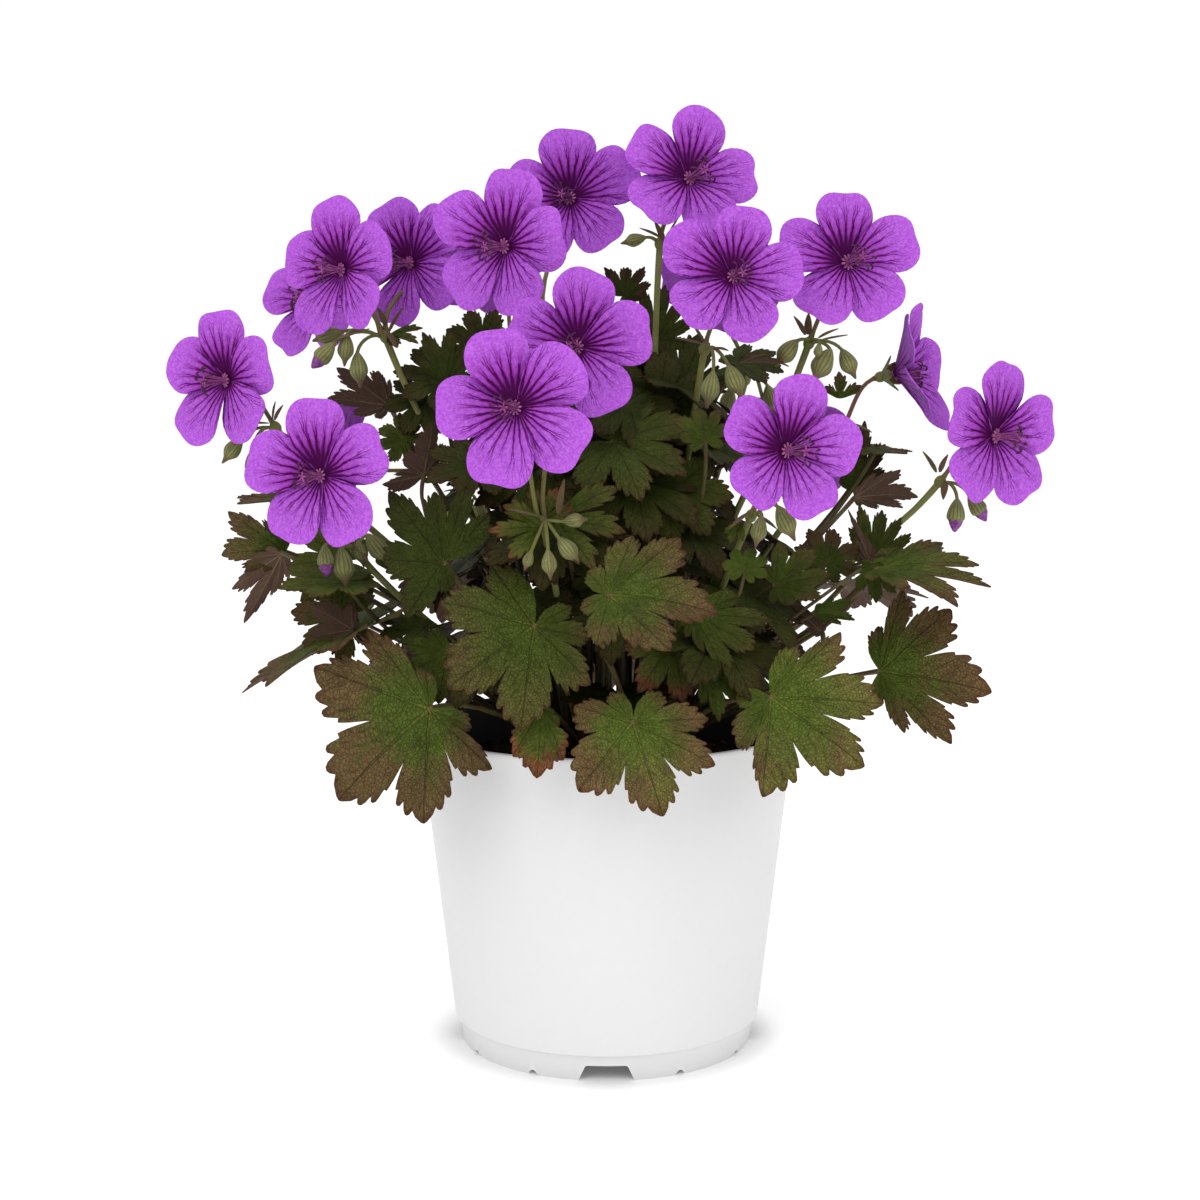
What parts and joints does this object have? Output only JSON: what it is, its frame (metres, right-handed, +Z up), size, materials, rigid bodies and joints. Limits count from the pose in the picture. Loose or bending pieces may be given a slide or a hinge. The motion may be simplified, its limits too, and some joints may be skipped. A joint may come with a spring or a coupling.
{
  "type": "potted hardy geranium",
  "caption": "Hardy geranium in bloom in a round white nursery pot, with violet cupped flowers, nodding buds and cut bronze-green leaves.",
  "frame": {"origin": "centre of the pot's foot, on the surface it stands on", "axes": "+Z up, +X to the right and +Y to the back when the front of the plant is seen"},
  "size_m": [0.2958, 0.2055, 0.3151],
  "materials": {
    "pot_plastic": "satin white outside, black inside",
    "potting_mix": "rough dark potting mix",
    "crown_bark": "rough woody rootstock with old leaf bases",
    "leaf_blade": "matte, finely hairy, green in the middle and bronze towards the edge",
    "stem_green": "satin, finely hairy",
    "petal_violet": "silky matte violet with dark magenta veins",
    "bud_green": "matte, hairy, ribbed"
  },
  "bodies": {
    "root": {"pot": "pot_plastic", "soil": "potting_mix", "crown": "crown_bark", "leaf_front_left": "leaf_blade", "leaf_front_middle": "leaf_blade", "leaf_front_upper": "leaf_blade", "leaf_over_rim": "leaf_blade", "leaf_front_right": "leaf_blade", "leaf_right_low": "leaf_blade", "leaf_left_middle": "leaf_blade", "leaf_left_far": "leaf_blade", "leaf_left_droop": "leaf_blade", "leaf_left_upper": "leaf_blade", "leaf_right_middle": "leaf_blade", "leaf_right_inner": "leaf_blade", "leaf_right_far": "leaf_blade", "leaf_centre_upper": "leaf_blade", "leaf_back_left": "leaf_blade", "leaf_back_middle": "leaf_blade", "leaf_back_right": "leaf_blade", "leaf_back_left_low": "leaf_blade", "leaf_back_far_right": "leaf_blade", "leaf_back_over_rim": "leaf_blade", "scape_left_high": "stem_green", "scape_left_far": "stem_green", "scape_left_low": "stem_green", "scape_middle_high": "stem_green", "scape_top": "stem_green", "scape_right_high": "stem_green", "scape_right_upper": "stem_green", "scape_right_side": "stem_green", "scape_right_far": "stem_green", "scape_right_front": "stem_green", "scape_front": "stem_green", "scape_back_left": "stem_green", "scape_back_right": "stem_green", "scape_back_low": "stem_green", "flower_left_high": "petal_violet", "flower_left_inner": "petal_violet", "flower_left_behind": "petal_violet", "flower_left_far": "petal_violet", "flower_left_low": "petal_violet", "flower_middle_left": "petal_violet", "flower_middle_top": "petal_violet", "flower_top": "petal_violet", "flower_right_inner": "petal_violet", "flower_right_high": "petal_violet", "flower_right_side": "petal_violet", "flower_right_far": "petal_violet", "flower_right_front": "petal_violet", "flower_front": "petal_violet", "flower_front_upper": "petal_violet", "flower_back_left": "petal_violet", "flower_back_upper": "petal_violet", "flower_back_right": "petal_violet", "flower_back_middle": "petal_violet", "flower_back_far_left": "petal_violet", "buds_left": "bud_green", "buds_front": "bud_green", "buds_right": "bud_green"}
  },
  "joints": []
}
